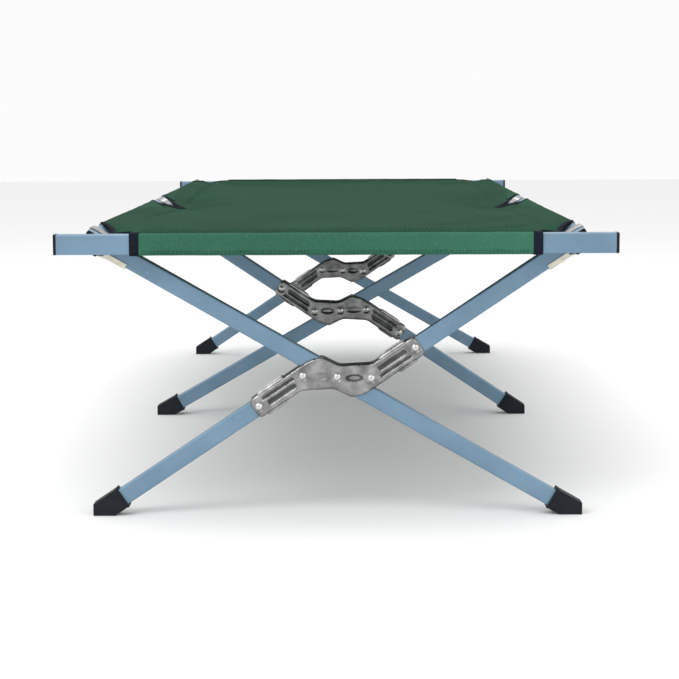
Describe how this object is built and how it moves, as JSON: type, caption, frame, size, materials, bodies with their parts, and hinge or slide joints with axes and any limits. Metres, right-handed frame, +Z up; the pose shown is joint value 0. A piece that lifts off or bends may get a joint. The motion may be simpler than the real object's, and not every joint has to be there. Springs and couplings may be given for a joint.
{
  "type": "folding camp cot",
  "caption": "Full-length folding camp cot with crossed aluminium legs, a fabric bed hemmed round both side rails, and a spreader bar across each end.",
  "frame": {"origin": "on the floor, under the middle of the bed", "axes": "+X across the cot, +Y along its length, +Z up"},
  "size_m": [0.78, 1.9726, 0.4144],
  "materials": {
    "tube_aluminium": "satin",
    "plated_steel": "satin",
    "rivet_steel": "polished",
    "boot_rubber": "matt",
    "black_plastic": "matt",
    "green_fabric": "woven, matt"
  },
  "bodies": {
    "left_side": {"left_rail_front": "tube_aluminium", "left_rail_rear": "tube_aluminium", "left_rail_links": "plated_steel", "left_link_pins": "rivet_steel", "left_rail_plugs": "black_plastic", "front_straight_leg": "tube_aluminium", "rear_straight_leg": "tube_aluminium", "middle_cranked_leg_upper": "tube_aluminium", "middle_cranked_leg_lower": "tube_aluminium", "middle_crank_plate_outer": "plated_steel", "middle_crank_plate_inner": "plated_steel", "middle_pivot_rivet": "rivet_steel", "middle_crank_rivets": "rivet_steel", "middle_stop_bushes": "rivet_steel", "front_left_bracket": "plated_steel", "middle_left_bracket": "plated_steel", "rear_left_bracket": "plated_steel", "left_bracket_pins": "rivet_steel", "front_right_boot": "boot_rubber", "middle_right_boot": "boot_rubber", "rear_right_boot": "boot_rubber", "left_hem_front": "green_fabric", "left_hem_rear": "green_fabric", "fabric_panel": "green_fabric"},
    "right_side": {"right_rail_front": "tube_aluminium", "right_rail_rear": "tube_aluminium", "right_rail_links": "plated_steel", "right_link_pins": "rivet_steel", "right_rail_plugs": "black_plastic", "middle_straight_leg": "tube_aluminium", "front_cranked_leg_upper": "tube_aluminium", "front_cranked_leg_lower": "tube_aluminium", "rear_cranked_leg_upper": "tube_aluminium", "rear_cranked_leg_lower": "tube_aluminium", "front_crank_plate_outer": "plated_steel", "front_crank_plate_inner": "plated_steel", "front_pivot_rivet": "rivet_steel", "front_crank_rivets": "rivet_steel", "front_stop_bushes": "rivet_steel", "rear_crank_plate_outer": "plated_steel", "rear_crank_plate_inner": "plated_steel", "rear_pivot_rivet": "rivet_steel", "rear_crank_rivets": "rivet_steel", "rear_stop_bushes": "rivet_steel", "front_right_bracket": "plated_steel", "middle_right_bracket": "plated_steel", "rear_right_bracket": "plated_steel", "right_bracket_pins": "rivet_steel", "front_left_boot": "boot_rubber", "middle_left_boot": "boot_rubber", "rear_left_boot": "boot_rubber", "right_hem_front": "green_fabric", "right_hem_rear": "green_fabric"},
    "front_bar": {"front_spreader_bar": "tube_aluminium", "front_bar_caps": "black_plastic", "front_end_hem": "green_fabric"},
    "rear_bar": {"rear_spreader_bar": "tube_aluminium", "rear_bar_caps": "black_plastic", "rear_end_hem": "green_fabric"}
  },
  "joints": [
    {"name": "side_frames_close", "type": "hinge", "parent": "left_side", "child": "right_side", "pos_m": [0, 0, 0.2], "axis": [0, -1, 0], "range_deg": [0, 112], "deforming": ["fabric_panel"]},
    {"name": "front_bar_release", "type": "slide", "parent": "left_side", "child": "front_bar", "axis": [0, -1, 0], "range_m": [0, 0.016], "deforming": ["fabric_panel"]},
    {"name": "rear_bar_release", "type": "slide", "parent": "left_side", "child": "rear_bar", "axis": [0, 1, 0], "range_m": [0, 0.016], "deforming": ["fabric_panel"]}
  ]
}
